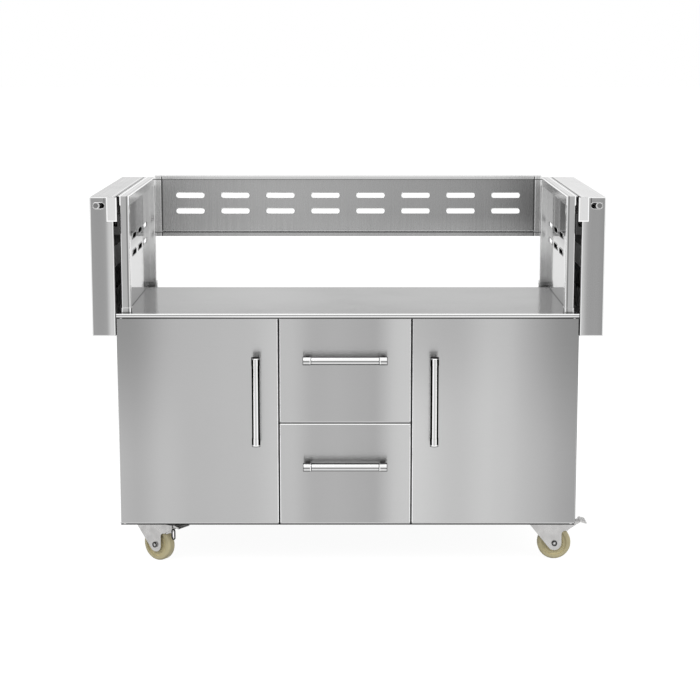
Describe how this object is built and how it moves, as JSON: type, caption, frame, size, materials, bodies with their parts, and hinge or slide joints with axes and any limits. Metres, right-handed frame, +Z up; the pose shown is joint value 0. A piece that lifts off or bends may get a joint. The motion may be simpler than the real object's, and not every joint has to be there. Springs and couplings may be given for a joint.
{
  "type": "grill cart",
  "caption": "Stainless grill cart with doors, drawers, an open bay for a grill head, fold-up side shelves and swivel casters.",
  "frame": {"origin": "on the floor under the middle of the cart's box, handles included", "axes": "+X to the right along the front, +Y from the front to the back, +Z up"},
  "size_m": [1.189, 0.645, 0.885],
  "materials": {
    "door_steel": "fine horizontal brushing, satin",
    "liner_steel": "plain rolled sheet, satin",
    "handle_steel": "polished tube with brushed end sleeves",
    "deck_steel": "glossy, finely brushed",
    "frame_steel": "brushed along its length",
    "cover_steel": "fine vertical brushing, bright",
    "bracket_black": "black coated",
    "vent_mirror": "bright, near a mirror",
    "vent_steel": "fine horizontal brushing, satin",
    "shelf_steel": "fine brushing along the shelf, satin",
    "cabinet_steel": "plain rolled sheet, satin",
    "bright_steel": "bright turned steel",
    "rail_zinc": "bright zinc plate",
    "caster_zinc": "bright zinc plate",
    "brake_zinc": "bright zinc plate",
    "wheel_nylon": "tan, slightly waxy",
    "black_rubber": "matt black"
  },
  "bodies": {
    "cart": {"deck_pan": "deck_steel", "left_side_frame": "frame_steel", "right_side_frame": "frame_steel", "post_sockets": "frame_steel", "shelf_cover_plates": "cover_steel", "left_shelf_brackets": "bracket_black", "right_shelf_brackets": "bracket_black", "left_vent_panel": "vent_mirror", "right_vent_panel": "vent_mirror", "rear_vent_panel": "vent_steel", "base_pan": "cabinet_steel", "left_side_panel": "cabinet_steel", "right_side_panel": "cabinet_steel", "cabinet_back_panel": "cabinet_steel", "left_divider": "cabinet_steel", "right_divider": "cabinet_steel", "deck_braces": "cabinet_steel", "shelf_pivot_pins": "bright_steel", "door_pivot_pins": "bright_steel", "frame_screws": "bright_steel", "drawer_outer_rails": "rail_zinc", "caster_plates": "caster_zinc", "caster_bolts": "caster_zinc", "shelf_bumpers": "black_rubber", "door_catches": "black_rubber"},
    "left_door": {"left_door_panel": "door_steel", "left_door_liner": "liner_steel", "left_door_handle": "handle_steel"},
    "right_door": {"right_door_panel": "door_steel", "right_door_liner": "liner_steel", "right_door_handle": "handle_steel"},
    "upper_drawer": {"upper_drawer_front": "door_steel", "upper_drawer_box": "liner_steel", "upper_drawer_handle": "handle_steel", "upper_drawer_rails": "rail_zinc"},
    "lower_drawer": {"lower_drawer_front": "door_steel", "lower_drawer_box": "liner_steel", "lower_drawer_handle": "handle_steel", "lower_drawer_rails": "rail_zinc"},
    "upper_runner": {"upper_middle_rails": "rail_zinc"},
    "lower_runner": {"lower_middle_rails": "rail_zinc"},
    "left_shelf": {"left_shelf": "shelf_steel", "left_shelf_bushes": "bright_steel"},
    "right_shelf": {"right_shelf": "shelf_steel", "right_shelf_bushes": "bright_steel"},
    "front_left_caster": {"front_left_fork": "caster_zinc", "front_left_axle": "caster_zinc"},
    "front_left_wheel": {"front_left_wheel": "wheel_nylon"},
    "front_left_brake": {"front_left_brake": "brake_zinc"},
    "front_right_caster": {"front_right_fork": "caster_zinc", "front_right_axle": "caster_zinc"},
    "front_right_wheel": {"front_right_wheel": "wheel_nylon"},
    "front_right_brake": {"front_right_brake": "brake_zinc"},
    "rear_left_caster": {"rear_left_fork": "caster_zinc", "rear_left_axle": "caster_zinc"},
    "rear_left_wheel": {"rear_left_wheel": "wheel_nylon"},
    "rear_right_caster": {"rear_right_fork": "caster_zinc", "rear_right_axle": "caster_zinc"},
    "rear_right_wheel": {"rear_right_wheel": "wheel_nylon"}
  },
  "joints": [
    {"name": "left_door_hinge", "type": "hinge", "parent": "cart", "child": "left_door", "pos_m": [-0.528, -0.2695, 0.3515], "axis": [0, 0, -1], "range_deg": [0, 110]},
    {"name": "right_door_hinge", "type": "hinge", "parent": "cart", "child": "right_door", "pos_m": [0.528, -0.2695, 0.3515], "axis": [0, 0, 1], "range_deg": [0, 110]},
    {"name": "upper_drawer_slide", "type": "slide", "parent": "cart", "child": "upper_drawer", "axis": [0, -1, 0], "range_m": [0, 0.4]},
    {"name": "upper_runner_slide", "type": "slide", "parent": "cart", "child": "upper_runner", "axis": [0, -1, 0], "range_m": [0, 0.2]},
    {"name": "lower_drawer_slide", "type": "slide", "parent": "cart", "child": "lower_drawer", "axis": [0, -1, 0], "range_m": [0, 0.4]},
    {"name": "lower_runner_slide", "type": "slide", "parent": "cart", "child": "lower_runner", "axis": [0, -1, 0], "range_m": [0, 0.2]},
    {"name": "left_shelf_fold", "type": "hinge", "parent": "cart", "child": "left_shelf", "pos_m": [-0.58, 0.0225, 0.8595], "axis": [0, 1, 0], "range_deg": [0, 90]},
    {"name": "right_shelf_fold", "type": "hinge", "parent": "cart", "child": "right_shelf", "pos_m": [0.58, 0.0225, 0.8595], "axis": [0, -1, 0], "range_deg": [0, 90]},
    {"name": "front_left_swivel", "type": "hinge", "parent": "cart", "child": "front_left_caster", "pos_m": [-0.473, -0.1975, 0.09], "axis": [0, 0, 1], "continuous": true},
    {"name": "front_left_roll", "type": "hinge", "parent": "front_left_caster", "child": "front_left_wheel", "pos_m": [-0.4531, -0.21092, 0.04], "axis": [0.5592, 0.829, 0], "continuous": true},
    {"name": "front_left_pedal", "type": "hinge", "parent": "front_left_caster", "child": "front_left_brake", "pos_m": [-0.43486, -0.22322, 0.0851], "axis": [0.5592, 0.829, 0], "range_deg": [0, 12]},
    {"name": "front_right_swivel", "type": "hinge", "parent": "cart", "child": "front_right_caster", "pos_m": [0.473, -0.1975, 0.09], "axis": [0, 0, 1], "continuous": true},
    {"name": "front_right_roll", "type": "hinge", "parent": "front_right_caster", "child": "front_right_wheel", "pos_m": [0.497, -0.1975, 0.04], "axis": [0, 1, 0], "continuous": true},
    {"name": "front_right_pedal", "type": "hinge", "parent": "front_right_caster", "child": "front_right_brake", "pos_m": [0.519, -0.1975, 0.0851], "axis": [0, 1, 0], "range_deg": [0, 12]},
    {"name": "rear_left_swivel", "type": "hinge", "parent": "cart", "child": "rear_left_caster", "pos_m": [-0.473, 0.2425, 0.09], "axis": [0, 0, 1], "continuous": true},
    {"name": "rear_left_roll", "type": "hinge", "parent": "rear_left_caster", "child": "rear_left_wheel", "pos_m": [-0.49555, 0.25071, 0.04], "axis": [-0.342, -0.9397, 0], "continuous": true},
    {"name": "rear_right_swivel", "type": "hinge", "parent": "cart", "child": "rear_right_caster", "pos_m": [0.473, 0.2425, 0.09], "axis": [0, 0, 1], "continuous": true},
    {"name": "rear_right_roll", "type": "hinge", "parent": "rear_right_caster", "child": "rear_right_wheel", "pos_m": [0.45125, 0.23236, 0.04], "axis": [0.4226, -0.9063, 0], "continuous": true}
  ],
  "couplings": [
    {"joint": "upper_runner_slide", "follows": "upper_drawer_slide", "ratio": 0.5},
    {"joint": "lower_runner_slide", "follows": "lower_drawer_slide", "ratio": 0.5}
  ]
}
